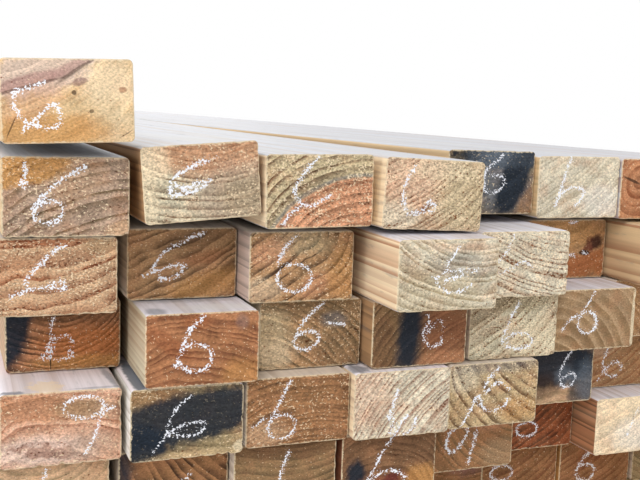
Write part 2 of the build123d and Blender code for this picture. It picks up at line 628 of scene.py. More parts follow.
            Patch("dark olive", (0, 19), (38, 9), 0.55), Patch("sage", (-27, -4), (13, 22), 0.6),
            Patch("dark olive", (24, 0), (18, 28), 0.5), Patch("slate", (16, 9), (9, 5), 0.45),
            Patch("sand", (-25, -12), (14, 10), 0.4),
        ),
        marks=(
            curve((8, 20), (-1, 13), (-7, 6), (-10, 0), (-11, -4)),
            bowl(-3, -4, 8.5, 6, turn=15, start=160, sweep=345), curve((12, 7), (23, 5)),
        ),
    ),
    "board_6_4": Look(
        wood="olive brown", line="umber", pith=(60, -70), ring=5, depth=0.7, torn=0.35, planed="sand",
        flank="light brown", light=0.5,
        patches=(
            Patch("red brown", (20, 0), (22, 22), 0.7), Patch("dark brown", (-27, -8), (9, 22), 0.6),
            Patch("copper", (20, -19), (22, 6), 0.6),
            Patch("black", (-8, -2), (9, 34), 0.97, turn=-4, blend=0.95, ragged=0.25),
        ),
        marks=(
            curve((5.5, 12), (5.8, 6), (3, 2.5), (2.5, -3), (5.4, -8)),
            curve((9, -9.5), (16, -8), (16, -3.5)), curve((6.6, 1.3), (11, 6), (15.8, 7), (16.4, 1)),
        ),
    ),
    "board_6_5": Look(
        wood="pale olive", line="olive", pith=(-70, 90), ring=6, depth=0.55, torn=1.0, pitted=0.8,
        edge_wear=0.8, light=0.2,
        patches=(
            Patch("olive", (6, 18), (28, 7), 0.55), Patch("dark olive", (-20, 14), (27, 8), 0.6, turn=25),
            Patch("cream", (15, -8), (24, 14), 0.4),
        ),
        marks=(
            curve((3, 16), (-3, 6), (-8, -6), (-9, -11)),
            curve((-9, -11), (-1, -6), (8, -5), (15, -10), (12, -15), (3, -16), (-5, -14)),
        ),
    ),
    "board_6_6": Look(
        wood="khaki", line="olive brown", pith=(-45, -55), ring=8, depth=1.0, thin=0.35, torn=0.3,
        planed="lilac",
        patches=(Patch("cream", (35, 0), (3, 26), 0.8, blend=0.5),),
        marks=(
            curve((-2, 21), (-7, 12), (-12, 5)), bowl(-7, -2, 8, 8), curve((-28, -6), (-20, 2), (-12, 3)),
        ),
    ),
    "board_6_7": Look(wood="light brown", pith=(-50, -60), depth=0.6, flank="light brown"),
    "board_5_1": Look(
        wood="pink", line="rust", pith=(-5, -120), ring=7.5, depth=0.55, sway=4, pitted=0.6,
        edge_wear=1.0, planed="pale lilac", flank="bone", band="tan", light=0.2,
        patches=(
            Patch("copper", (-16, 14), (28, 9), 0.75), Patch("pale pink", (-12, -13), (30, 9), 0.65),
            Patch("olive", (13, 11), (17, 7), 0.45, blend=1.2, ragged=0.6),
            Patch("red brown", (-8, -13), (16, 4), 0.55, turn=-8, blend=0.6, ragged=1.3),
            Patch("grey brown", (18, -13), (15, 9), 0.5),
        ),
        on_top=(
            Patch("bright cream", (-8, 11), (9, 12), 0.7, blend=0.5, ragged=1.2),
            Patch("slate", (-27, 2), (7, 3.5), 0.7, blend=0.8, ragged=0.8),
            Patch("slate", (31, 24), (2.5, 26), 0.6, turn=4), Patch("slate", (20, 2.5), (14, 2), 0.4),
        ),
        marks=(
            bowl(13, 12, 11.5, 6.5, start=20, sweep=340),
            curve((30, 11), (23, 6), (20, -4), (18, -9), (14, -16)),
        ),
    ),
    "board_5_2": Look(
        wood="olive", line="dark olive", pith=(20, 110), ring=5, torn=0.55, edge_wear=0.9,
        planed="pale lilac", flank="white", light=0.5,
        patches=(
            Patch("brown", (-20, 17), (22, 6), 0.6),
            Patch("black", (2, 3), (60, 16), 0.94, turn=10, blend=0.45, ragged=0.25),
            Patch("black", (-30, -12), (18, 13), 0.94, blend=0.5, ragged=0.25),
            Patch("straw", (10, -21), (30, 3), 0.5), Patch("cream", (34, -18), (5, 4), 0.7, blend=0.5),
        ),
        on_top=(Patch("slate", (-28, 28), (4, 40), 0.9, blend=0.5, ragged=0.3),),
        marks=(
            curve((3, 17), (-4, 12), (-9, 6), (-12, 0), (-13, -6), (-17, -12), (-21, -16)),
            curve((-12, -6), (-4, -2), (6, 0), (11, -1), (9, -6), (2, -8), (-6, -8), (-11, -7)),
        ),
    ),
    "board_5_3": Look(
        wood="brown", line="dark brown", pith=(10, -110), ring=3.6, depth=0.75, torn=0.65, light=0.3,
        patches=(
            Patch("dark brown", (31, 15), (8, 8), 0.5), Patch("brown", (8, 4), (26, 14), 0.5),
            Patch("tan", (-22, -14), (14, 8), 0.55),
        ),
        marks=(
            curve((-6, 20), (-11, 10), (-15, 2), (-20, -7), (-20, -12)),
            bowl(-11, -10, 9, 7.5, turn=15, start=200, sweep=300), curve((-30, -9), (-24, -4)),
        ),
    ),
    "board_5_4": Look(
        wood="bone", line="rust", pith=(100, -90), ring=3.6, depth=0.6, thin=1.8, torn=0.75, pitted=0.9,
        planed="pale lilac", flank="bright cream",
        patches=(Patch("pink", (-24, 6), (14, 20), 0.4),),
        on_top=(Patch("slate", (-28, 11), (6, 10), 0.7, blend=0.8, ragged=0.8),),
        marks=(
            curve((-4, 10), (-7, 0), (-10, -10)), curve((-6, -9), (-8, -20)),
            curve((4, -8), (-1, -14), (-5, -22)), curve((10, -11), (8, -17), (2, -22)),
        ),
    ),
    "board_5_5": Look(
        wood="golden olive", line="dark brown", pith=(60, 60), ring=8, depth=0.9, thin=2.8, torn=0.75,
        patches=(
            Patch("slate", (0, 20), (36, 5), 0.4), Patch("gold", (20, -12), (16, 9), 0.4),
            Patch("bone", (-24, 12), (12, 9), 0.45), Patch("olive brown", (-27, -12), (12, 10), 0.4),
        ),
        marks=(
            curve((2, 18), (-4, 12), (-8, 5)),
            curve((-24, -20), (-18, -10), (-12, 0), (-9, -8), (-2, -12), (8, -9), (12, -4)),
            curve((-6, 2), (2, 8), (8, 7), (12, 3)),
        ),
    ),
    "board_5_6": Look(
        line="olive", pith=(10, -80), ring=6, torn=0.2, light=0.3,
        patches=(
            Patch("black", (-8, 8), (46, 18), 0.97, blend=0.5, ragged=0.2),
            Patch("umber", (-14, -9), (22, 9), 0.6, turn=8),
            Patch("black", (26, -6), (12, 30), 0.8, turn=-8, blend=0.6, ragged=0.2),
            Patch("slate", (10, -2), (9, 8), 0.6), Patch("slate", (28, -6), (8, 16), 0.6),
        ),
        marks=(curve((14, 17), (8, 8), (5, -1), (8, -9), (14, -10), (19, -4), (16, 0), (10, -2)),),
    ),
    "board_5_7": Look(
        wood="light brown", line="rust", pith=(-50, 90), ring=6, depth=0.55, torn=0.3, light=0.3,
        patches=(Patch("grey brown", (-16, 12), (20, 10), 0.5),),
        marks=(curve((-2, 10), (-6, -3), (-2, -12), (6, -14), (12, -8), (7, -2), (0, -5), (-10, -16)),),
    ),
    "board_4_1": Look(
        line="olive", pith=(-10, 50), ring=5, depth=0.75, torn=0.4,
        marks=(curve((-2, 18), (-4, 10), (-5, 0)), bowl(4, -6, 9, 6)),
    ),
    "board_4_2": Look(
        wood="brown", line="umber", pith=(70, 60), ring=6, depth=0.8, thin=1, torn=0.3,
        patches=(Patch("black", (-37, 10), (11, 22), 0.85, blend=0.8),),
        marks=(curve((10, 4), (2, -4), (-2, -10)), bowl(6, -11, 8, 6)),
    ),
    "board_4_3": Look(
        wood="olive brown", line="dark olive", pith=(0, 110), ring=5, depth=0.8, torn=0.4,
        patches=(Patch("dark brown", (0, 20), (40, 8), 0.7),),
        marks=(curve((2, 16), (-2, 7), (-4, -3), (-5, -14)), bowl(4, -12, 9, 6)),
    ),
    "board_4_4": Look(
        wood="walnut", line="dark brown", pith=(-2, -34), ring=4.5, depth=0.85, sway=3, torn=0.35,
        flank="red brown", band="umber",
        patches=(
            Patch("black", (-24, -5), (7, 10), 0.95, blend=0.8), Patch("rust", (0, -18), (26, 9), 0.7),
            Patch("wine", (7, -14), (17, 8), 0.9, blend=0.6), Patch("gold", (25, -12), (14, 9), 0.65),
        ),
        marks=(curve((3, 20), (-6, 8), (-12, -4), (-18, -12)), bowl(0, -12, 12, 7)),
    ),
    "board_4_5": Look(
        wood="brown", line="dark olive", pith=(50, 60), ring=6, depth=0.6, torn=0.4,
        patches=(Patch("salmon", (14, 14), (20, 8), 0.5), Patch("khaki", (24, -12), (16, 11), 0.6)),
        marks=(
            curve((-4, 10), (-10, 11), (-19, 6), (-20, -5), (-13, -7), (-5, 3), (-4, 9)),
            curve((4, 7), (1, -6), (-2, -17)),
        ),
    ),
    "board_4_6": Look(
        wood="rust", line="umber", pith=(-60, 90), ring=5, depth=0.7, thin=0.8, torn=0.3,
        marks=(bowl(-7, -6, 9, 6),),
    ),
    "board_4_7": Look(
        wood="bright cream", line="sand", pith=(-50, 80), ring=5, depth=0.4, torn=0.3, planed="lilac",
        flank="copper", band="umber", bands=0.8, light=0.8,
        patches=(Patch("white", (6, -8), (24, 13), 0.4),),
        marks=(curve((4, 12), (0, 2), (-5, -8)),),
    ),
    "board_3_4": Look(
        wood="copper", line="rust", pith=(30, 80), torn=0.3,
        marks=(bowl(0, 0, 9, 7),),
    ),
    "board_3_5": Look(
        wood="brown", line="dark brown", pith=(20, 90), torn=0.3,
        patches=(Patch("plum", (20, 14), (18, 12), 0.7),),
    ),
    "board_3_6": Look(
        wood="brown", line="red brown", pith=(-50, 90), depth=0.7, torn=0.3,
        marks=(bowl(-17, -2, 10, 6),),
    ),
    "board_3_7": Look(
        wood="brown", line="red brown", pith=(-60, 90), ring=5, depth=0.7, torn=0.3, flank="gold",
        patches=(Patch("rust", (0, 8), (22, 10), 0.4, turn=20),),
        marks=(curve((2, 10), (-11, 3), (-18, -7)), bowl(-9, -10, 9, 7)),
    ),
    "board_3_8": Look(wood="olive", line="dark olive", pith=(30, 80), torn=0.4),
}


def plain_look(chance):
    """A board that has nothing special about it."""
    wood, line = chance.choice((
        ("pale olive", "olive"), ("tan", "brown"), ("straw", "olive"), ("grey brown", "dark olive"),
        ("salmon", "rust"), ("brown", "dark brown"), ("cream", "tan"), ("olive", "dark olive"),
    ))
    side = chance.choice((-1, 1))
    return Look(
        wood=wood,
        line=line,
        pith=(side * chance.uniform(5, 70), chance.choice((-1, 1)) * chance.uniform(30, 120)),
        ring=chance.uniform(4, 7.5),
        depth=chance.uniform(0.3, 0.65),
        thin=chance.uniform(1, 3),
        torn=chance.uniform(0.3, 0.9),
        marks=plain_six(chance),
        planed=chance.choice(("planed", "planed", "white", "cream", "straw")),
        edge_wear=chance.uniform(0.2, 0.8),
    )


# Shader building


class Value:
    """What a node gives, ready for arithmetic with others, numbers and vectors."""

    def __init__(self, nodes, socket):
        self.nodes, self.socket = nodes, socket

    def combine(self, operation, one, other):
        kind = "ShaderNodeMath" if is_number(one) and is_number(other) else "ShaderNodeVectorMath"
        return self.nodes.add(kind, {0: one, 1: other}, operation=operation)

    def __add__(self, other):
        return self.combine("ADD", self, other)

    def __sub__(self, other):
        return self.combine("SUBTRACT", self, other)

    def __rsub__(self, other):
        return self.combine("SUBTRACT", other, self)

    def __truediv__(self, other):
        return self.combine("DIVIDE", self, other)

    def __mul__(self, other):
        """A number stretches a vector or a colour."""
        if is_number(other) and not is_number(self):
            return self.nodes.add("ShaderNodeVectorMath", {0: self, "Scale": other}, operation="SCALE")
        return self.combine("MULTIPLY", self, other)

    def size(self):
        """Without its sign, or the length of a vector."""
        if is_number(self):
            return self.nodes.math("ABSOLUTE", self)
        return self.nodes.add("ShaderNodeVectorMath", {0: self}, output=1, operation="LENGTH")

    def parts(self):
        """The x, y and z of a vector."""
        return self.nodes.add_all("ShaderNodeSeparateXYZ", {0: self})

    def between(self, low, high, to=(0.0, 1.0), smooth=True):
        """Taken from the range low to high to another range, and held at its ends."""
        ends = {0: self, 1: low, 2: high, 3: to[0], 4: to[1]}
        kind = "SMOOTHSTEP" if smooth else "LINEAR"
        return self.nodes.add("ShaderNodeMapRange", ends, interpolation_type=kind)

    def noise(self, cells, detail=2.0, roughness=0.5, output=0):
        """Noise from 0 to 1 at a place, with hills of the given sizes along x, y and z."""
        inputs = {"Vector": self / cells, "Scale": 1.0, "Detail": detail, "Roughness": roughness}
        return self.nodes.add("ShaderNodeTexNoise", inputs, output=output)

    def line_noise(self, detail):
        """Noise from 0 to 1 along a line."""
        inputs = {"W": self, "Scale": 1.0, "Detail": detail}
        return self.nodes.add("ShaderNodeTexNoise", inputs, noise_dimensions="1D")


def is_number(item):
    """Whether an item is a number, or a value that is one."""
    return item.socket.type == "VALUE" if isinstance(item, Value) else isinstance(item, (int, float))


class Nodes:
    """Adds nodes to a tree. Their inputs are values, numbers, vectors and names of tones."""

    def __init__(self, tree):
        self.tree = tree

    def new(self, kind, inputs=None, **settings):
        node = self.tree.nodes.new(kind)
        for name, setting in settings.items():
            setattr(node, name, setting)
        for place, item in (inputs or {}).items():
            if isinstance(item, Value):
                self.tree.links.new(item.socket, node.inputs[place])
            else:
                node.inputs[place].default_value = linear(item) if isinstance(item, str) else item
        return node

    def add(self, kind, inputs=None, output=0, **settings):
        """Add a node and return one of the values that it gives."""
        return Value(self, self.new(kind, inputs, **settings).outputs[output])

    def add_all(self, kind, inputs=None, **settings):
        """Add a node and return all the values that it gives."""
        return [Value(self, socket) for socket in self.new(kind, inputs, **settings).outputs]

    def math(self, operation, *items):
        return self.add("ShaderNodeMath", dict(enumerate(items)), operation=operation)

    def mix(self, share, one, other, blend="MIX"):
        """Colour one, changed to the other by a share."""
        inputs = {0: share, 6: one, 7: other}
        return self.add("ShaderNodeMix", inputs, output=2, data_type="RGBA", blend_type=blend)

    def attribute(self, name):
        return self.add("ShaderNodeAttribute", output=1, attribute_name=name)

    def rays(self, kind):
        """1 for light rays of a kind, 0 for others."""
        return self.add("ShaderNodeLightPath", output=f"Is {kind} Ray")


# Added to a place, these lead to other parts of the noise
fine_part, grain_part, warmth_part = (31, 7, 13), (5, 91, 47), (71, 0, 29)

middle_grey = (0.5, 0.5, 0.5)   # of a coloured noise
in_section = (1, 0, 1)          # keeps a vector's x and z
along_board = (0, 1, 0)         # keeps its y
near_stains = (40.0, 60.0)      # stains of the near end fade out this far behind it, in millimetres
line_strength = 1.25            # how much of the dark wood's tone shows at a depth of 1
no_fork = (0, 0, 1e4)           # a second middle that never is the nearest
no_stroke = 99.0                # way to a stroke where there is none, in millimetres

# Year rings
wander_reach, jitter_reach = 3.2, 0.9   # how far a sway of 1 moves them, in millimetres
drift_pace, drift_reach = 0.45, 1.7     # how often their width changes, and how much, in rings
late_rise = (0.15, 0.88)        # where in a ring the dark wood starts, and where it is at its darkest
late_end = (0.95, 1.0)          # where it ends
weakest_ring = 0.65             # dark wood of the palest ring, beside that of the darkest

# Torn ends: noise above a level leaves a chip, and noise below another a pit
most_torn = 1.2
chip_levels = (0.72, 0.53)      # on an end that isn't torn, and on the most torn one
pit_levels = (0.20, 0.385)
torn_edge = 0.05                # how softly chips and pits begin

# Chalk: it stays where noise is above a level, which rises with the distance from a stroke's middle
stroke_width = (0.2, 1.9)       # distances where the level starts to rise and where it stops
chalk_levels = (0.435, 0.65)
chalk_edge = 0.04
stroke_end = (2.0, 2.7)         # distances where chalk gets rare, and where there is none

# What the sockets of a group carry, where it isn't a number
carried = {"Colour": "Color", "Tone": "Color"}
carried.update(dict.fromkeys(("Place", "Pith", "Fork", "At", "Size", "To stroke"), "Vector"))


def add_group_socket(tree, label, direction):
    kind = "NodeSocket" + carried.get(label, "Float")
    tree.interface.new_socket(label, in_out=direction, socket_type=kind)


def new_group(name, *labels):
    """The node shorthand of an empty node group, and the values that the group is given."""
    tree = bpy.data.node_groups.new(name, "ShaderNodeTree")
    for label in labels:
        add_group_socket(tree, label, "INPUT")
    nodes = Nodes(tree)
    return nodes, nodes.add_all("NodeGroupInput")[:len(labels)]


def finish_group(nodes, values):
    """The group, which gives these values."""
    for label in values:
        add_group_socket(nodes.tree, label, "OUTPUT")
    nodes.new("NodeGroupOutput", values)
    return nodes.tree


def year_rings():
    """Group: how much late wood there is at a place, how far the pith is, and each ring's own number."""
    nodes, (place, pith, fork, head_start, ring, sway, thin) = new_group(
        "year_rings", "Place", "Pith", "Fork", "Head start", "Ring", "Sway", "Thin"
    )
    wander = place.noise((38, 1200, 38), 1.0, output=1) - middle_grey
    jitter = place.noise((9, 420, 9), 2.0, output=1) - middle_grey
    moved = place + wander * (sway * wander_reach) + jitter * (sway * jitter_reach)
    flat = moved * in_section
    radius = nodes.math("MINIMUM", (flat - pith).size(), (flat - fork).size() + head_start)
    count = radius / ring
    count = count + (count * drift_pace).line_noise(1.0) * drift_reach
    part = nodes.math("FRACT", count)
    own = nodes.add("ShaderNodeTexWhiteNoise", {"W": nodes.math("FLOOR", count)}, noise_dimensions="1D")
    late = part.between(*late_rise) * part.between(*late_end, to=(1.0, 0.0))
    late = nodes.math("POWER", late, thin)
    late = late * own.between(0.0, 1.0, to=(weakest_ring, 1.0), smooth=False)
    late = late * place.noise((20, 700, 13), 2.0, 0.6).between(0.34, 0.56, to=(0.4, 1.0))
    return finish_group(nodes, {"Late": late, "Radius": radius, "Own": own})


def stain():
    """Group: lays one tone over another inside a turned, ragged ellipse."""
    nodes, (colour, place, at, size, turn, tone, cover, blend, ragged) = new_group(
        "stain", "Colour", "Place", "At", "Size", "Turn", "Tone", "Cover", "Blend", "Ragged"
    )
    moved = {"Vector": place - at, "Angle": turn}
    turned = nodes.add("ShaderNodeVectorRotate", moved, rotation_type="Y_AXIS")
    reach = (turned * in_section / size).size()
    reach = reach + (place.noise((7, 7, 7), 3.0, 0.6) - 0.5) * ragged * 2.6
    soft = blend * 0.5
    share = reach.between(1.0 - soft, soft + 1.0, to=(1.0, 0.0)) * cover
    return finish_group(nodes, {"Colour": nodes.mix(share, colour, tone)})


def torn_fibres():
    """Group: pale chips and dark pits that the saw left on a cut end, its speckle and its height. The
    darkness of the pits and the speckle are partly painted shade and light of the torn relief.
    """
    nodes, (place, torn, late, pitted) = new_group("torn_fibres", "Place", "Torn", "Late", "Pitted")
    coarse = place.noise((2.0, 2.0, 1.3), 1.0, 0.5)
    fine = (place + fine_part).noise((1.5, 1.5, 1.1), 1.0, 0.5)
    grain = (place + grain_part).noise((1.5, 1.5, 1.1), 1.0, 0.6) - 0.5
    amount = torn * place.noise((15, 15, 11), 2.0, 0.6).between(0.3, 0.7, to=(0.5, 1.3))
    level = amount.between(0.0, most_torn, to=chip_levels, smooth=False) + late * 0.07
    chips = fine.between(level, level + torn_edge)
    level = amount.between(0.0, most_torn, to=pit_levels, smooth=False)
    level = level + late * pitted * 0.27 - pitted * 0.06
    pits = coarse.between(level - torn_edge, level, to=(1.0, 0.0))
    speckle = grain * (torn * 1.3 + 0.8) + 1.0
    height = ((chips - pits) * 0.5 + grain) * (torn + 0.35)
    return finish_group(nodes, {"Chips": chips, "Pits": pits, "Speckle": speckle, "Height": height})


def chalk():
    """Group: chalk left on the high spots along a stroke.

    The vector leads to the nearest stroke in x and z, and its y is the plain distance to it. Half-way
    between two strokes, only the plain distance holds.
    """
    nodes, (colour, place, to_stroke, light) = new_group(
        "chalk", "Colour", "Place", "To stroke", "Light"
    )
    away = nodes.math("MAXIMUM", (to_stroke * in_section).size(), to_stroke.parts()[1] - 1.2)
    level = away.between(*stroke_width, to=chalk_levels, smooth=False)
    pressure = place.noise((8, 8, 8), 2.0, 0.6)
    level = level + pressure.between(0.35, 0.65, to=(0.045, -0.045)) + light * 0.1
    caught = place.noise((1.15, 1.15, 1.0), 1.0, 0.6).between(level, level + chalk_edge)
    share = caught * away.between(*stroke_end, to=(0.9, 0.0))
    return finish_group(nodes, {"Colour": nodes.mix(share, colour, "chalk")})


def new_material(name):
    """An empty material, and its node shorthand."""
    material = bpy.data.materials.new(name)
    material.use_nodes = True
    material.node_tree.nodes.clear()
    return material, Nodes(material.node_tree)


def finish_material(nodes, colour, height, depth, roughness, gloss):
    """Shader and output of a material: bump depth in metres, and a constant gloss."""
    bump = nodes.add("ShaderNodeBump", {"Height": height, "Distance": depth, "Strength": 1.0})
    shader = nodes.add("ShaderNodeBsdfPrincipled", {
        "Base Color": colour, "Roughness": roughness, "Normal": bump, "Specular IOR Level": gloss,
    })
    nodes.new("ShaderNodeOutputMaterial", {0: shader})


class Finish:
    """What the two materials of one board have in common."""

    def __init__(self, name, look, groups, shift):
        self.groups = groups
        self.material, self.nodes = new_material(name)
        self.place = self.nodes.attribute("place")
        self.offset = self.place + shift
        self.x, self.y, self.z = self.place.parts()
        fork_x, fork_z, head_start = look.fork or no_fork
        self.late, self.radius, self.own = self.group("rings", {
            "Place": self.place + (self.offset - self.place) * along_board,
            "Pith": (look.pith[0], 0, look.pith[1]),
            "Fork": (fork_x, 0, fork_z),
            "Head start": head_start,
            "Ring": look.ring,
            "Sway": look.sway,
            "Thin": look.thin,
        })

    def group(self, name, inputs):
        return self.nodes.add_all("ShaderNodeGroup", inputs, node_tree=self.groups[name])

    def stained(self, patches, colour, place, where):
        """The colour with patches laid over it, by the share that where gives."""
        for patch in patches:
            [colour] = self.group("stain", {
                "Colour": colour,
                "Place": place,
                "At": (patch.at[0], 0, patch.at[1]),
                "Size": (patch.size[0], 1, patch.size[1]),
                "Turn": math.radians(patch.turn),
                "Tone": patch.tone,
                "Cover": where * patch.cover,
                "Blend": patch.blend,
                "Ragged": patch.ragged,
            })
        return colour


def end_material(look, board, groups, shift):
    """Finish of a board's rough-sawn ends: rings, heartwood, stains, torn fibres and chalk."""
    finish = Finish(board.name + "_end", look, groups, shift)
    nodes, offset = finish.nodes, finish.offset
    line_share = finish.late * min(line_strength * look.depth, 1)
    colour = nodes.mix(line_share, look.wood, look.line)
    if look.heart:
        # Heartwood with a soft edge, and another tone along that
        radius, tone, edge_tone = look.heart
        inside = finish.radius.between(radius - 1.0, radius + 1.0, to=(1.0, 0.0))
        colour = nodes.mix(inside, colour, nodes.mix(line_share * 0.55, tone, look.line))
        from_edge = (finish.radius - (radius + 1.3)).size()
        colour = nodes.mix(from_edge.between(0.3, 2.0, to=(0.55, 0.0)), colour, edge_tone)
    # Lighter, darker and warmer parts
    mottle = offset.noise((13, 160, 13), 3.0, 0.6)
    colour = colour * mottle.between(0.3, 0.7, to=(0.80, 1.12))
    warmth = (offset + warmth_part).noise((16, 160, 12), 3.0, 0.6)
    colour = nodes.mix(warmth.between(0.42, 0.72, to=(0.0, 0.35)), colour, "copper")
    near_only = finish.y.between(*near_stains, to=(1.0, 0.0))
    colour = finish.stained(look.patches, colour, finish.place, near_only)
    # Rings show through stains, and each has a lightness of its own
    colour = colour * line_share.between(0.0, 1.0, to=(1.0, 0.76), smooth=False)
    colour = colour * finish.own.between(0.0, 1.0, to=(0.88, 1.09), smooth=False)
    # Speckle, dark pits, and pale chips, which are few where the wood is dark. The speckle, lighter where
    # the relief is high, and the dark pits are partly painted light and shade of the torn fibres.
    chips, pits, speckle, height = finish.group("torn", {
        "Place": offset, "Torn": look.torn, "Late": finish.late, "Pitted": look.pitted,
    })
    colour = colour * speckle
    # Pits get a darker, warmer colour: partly darker wood, partly painted shade
    pit_shade_colour = nodes.mix(1.0, colour * 0.85, "copper", blend="MULTIPLY")
    colour = nodes.mix(pits * 0.9, colour, pit_shade_colour)
    lightness = nodes.add("ShaderNodeRGBToBW", {0: colour})
    chip_colour = nodes.mix(0.68, colour * 1.4, "bright cream")
    colour = nodes.mix(chips * lightness.between(0.015, 0.16, to=(0.12, 0.95)), colour, chip_colour)
    # Saw marks, and frayed fibres along the outline
    saw = ((finish.x * 0.55 + finish.z) * 0.9).line_noise(3.0)
    colour = colour * saw.between(0.3, 0.7, to=(0.96, 1.04))
    from_side = board.width / mm / 2 - finish.x.size()
    from_face = board.height / mm / 2 - finish.z.size()
    fray = nodes.math("MINIMUM", from_side, from_face) + offset.noise((2.2, 2.2, 2.2), 3.0, 0.7) * 3.0
    colour = nodes.mix(fray.between(1.4, 2.4, to=(0.75, 0.0)), colour, "cream")
    [colour] = finish.group("chalk", {
        "Colour": colour, "Place": offset, "To stroke": nodes.attribute("to_stroke"), "Light": look.light,
    })
    finish_material(nodes, colour, height + saw * 0.25, depth=0.5 * mm, roughness=0.92, gloss=0.2)
    return finish.material


def side_material(look, board, groups, shift):
    """Finish of a board's planed faces: the same rings seen lengthwise, paler, with fine fibres. On the
    top and bottom, the near-white bluish tone and the faint pale grey rings are partly painted cool light
    from above.
    """
    finish = Finish(board.name + "_side", look, groups, shift)
    nodes, offset, z = finish.nodes, finish.offset, finish.z
    half_height = board.height / mm / 2
    # Top and bottom take the planed tone and faint pale grey rings, partly painted cool light from above;
    # the two sides take the flank tone and bands
    flat = z.size().between(half_height - 1.5, half_height - 0.8)
    wood = nodes.mix(flat, look.flank or look.planed, look.planed)
    line_tone = nodes.mix(flat, look.band or look.line, "pale grey")
    colour = nodes.mix(finish.late * flat.between(0.0, 1.0, to=(look.bands, 0.5)), wood, line_tone)
    fibres = offset.noise((2.2, 170, 2.2), 3.0, 0.6)
    colour = colour * fibres.between(0.3, 0.7, to=(0.91, 1.06))
    cloud = offset.noise((22, 380, 22), 2.0)
    colour = nodes.mix(cloud.between(0.48, 0.75, to=(0.0, 0.25)), colour, look.wood)
    scuff = offset.noise((6, 34, 6), 3.0, 0.65)
    colour = nodes.mix(scuff.between(0.58, 0.74, to=(0.0, 0.28)), colour, "slate")
    from_above = nodes.add("ShaderNodeCombineXYZ", {0: finish.x, 2: finish.y})
    colour = finish.stained(look.on_top, colour, from_above, flat * z.between(0.0, 1.0))
    height = fibres * 0.4 + finish.late * 0.25
    finish_material(nodes, colour, height, depth=0.12 * mm, roughness=0.62, gloss=0.35)
    return finish.material


# Building the pieces

seeds_apart = 7                                 # from one board to the next
fine_relief, fine_cell = 0.10 * mm, 2.4 * mm
broad_relief, broad_cell = 0.08 * mm, 9 * mm
chip_depth, chip_cell = 2.4 * mm, 3.2 * mm      # where the saw tore the outline
chip_reach = 2.2 * mm                           # in from the outline
chip_start = 0.45                               # noise above this makes a chip
chip_ease = 0.3                                 # how much less is enough at full wear
least_fray, most_fray = 0.15, 1.1               # of the outline, in millimetres
fray_at_face = 0.25 * mm
behind_share = 0.6                              # of the relief, in the rings behind the face


def torn_end(skin, look, seed):
    """How far each point of the skin is moved: back from the near end, and in from the outline."""
    moves = np.zeros_like(skin.points)
    near = skin.points[:skin.near_points]
    x, y, z = near.T
    half_width, half_height = skin.width / 2, skin.height / 2
    from_outline = np.minimum(half_width - np.abs(x), half_height - np.abs(z))
    on_face = y < touch
    behind = np.clip(1 - y / near_rings[-1], 0, 1)
    relief = fine_relief * (1 + soft_noise(near, fine_cell, seed))
    relief += broad_relief * (1 + soft_noise(near, broad_cell, seed + 1))
    chips = soft_noise(near * in_section, chip_cell, seed + 2) - chip_start + chip_ease * look.edge_wear
    chips = np.clip(chips, 0, 1)
    rim = np.clip(1 - from_outline / chip_reach, 0, 1)
    relief += rim * chips * look.edge_wear * chip_depth
    moves[:skin.near_points, 1] = np.where(on_face, relief, relief * behind_share * behind)
    inward = (least_fray + most_fray * chips * look.edge_wear) * mm * behind ** 3
    inward += fray_at_face * on_face
    for axis, place, half in ((0, x, half_width), (2, z, half_height)):
        beside_arris = (np.abs(place) > half - arris_radius) & (from_outline < arris_radius)
        moves[:skin.near_points, axis] = -np.sign(place) * inward * beside_arris
    return moves


def nearest_stroke(places, strokes):
    """The way from each place to the nearest point of the strokes, in millimetres."""
    if not strokes:
        return np.full((len(places), 2), no_stroke)
    away = np.concatenate(strokes) - places[:, None]
    nearest = np.argmin((away ** 2).sum(2), axis=1)
    return away[np.arange(len(places)), nearest]


def place_on_axis(board, points):
    """Points of the straight skin moved to where the board lies."""
    y, x, z, tilt = board.stations.T
    along = board.near + points[:, 1]
    middle_x, middle_z, turn = (np.interp(along, y, values) for values in (x, z, tilt))
    return np.stack([
        middle_x + points[:, 0] * np.cos(turn) - points[:, 2] * np.sin(turn),
        along,
        middle_z + points[:, 0] * np.sin(turn) + points[:, 2] * np.cos(turn),
    ], axis=1)


def add_vectors(mesh, name, vectors):
    """Give each point of a mesh a vector that its materials can read."""
    attribute = mesh.attributes.new(name, "FLOAT_VECTOR", "POINT")
    attribute.data.foreach_set("vector", np.asarray(vectors, np.float32).ravel())


def add_board(board, look, skin, groups, seed):
    """One board as a piece of its own, over its solid in the frame."""
    points = place_on_axis(board, skin.points + torn_end(skin, look, seed))
    mesh = bpy.data.meshes.new(board.name)
    mesh.from_pydata(points.tolist(), [], skin.faces)
    layer = mesh.uv_layers.new(name="OFBake")
    layer.data.foreach_set("uv", np.concatenate(skin.places).ravel())
    mesh.shade_smooth()
    add_vectors(mesh, "place", skin.points / mm)
    to_stroke = np.full((len(points), 3), no_stroke)
    near = skin.points[:, 1] < near_rings[0] + touch
    way = nearest_stroke(skin.points[near][:, [0, 2]] / mm, look.marks)
    to_stroke[near] = np.stack([way[:, 0], np.hypot(*way.T), way[:, 1]], axis=1)
    add_vectors(mesh, "to_stroke", to_stroke)
    # Each board is cut from another part of the noise
    shift = (seed * 173.0 % 997, seed * 61.0 % 499, seed * 97.0 % 787)
    mesh.materials.append(side_material(look, board, groups, shift))
    mesh.materials.append(end_material(look, board, groups, shift))
    mesh.polygons.foreach_set("material_index", skin.on_end)
    piece = bpy.data.objects.new(board.name, mesh)
    bpy.context.scene.collection.objects.link(piece)
    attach(piece, "root")
    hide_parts(board.node)


# Camera, at the photograph's viewing angle

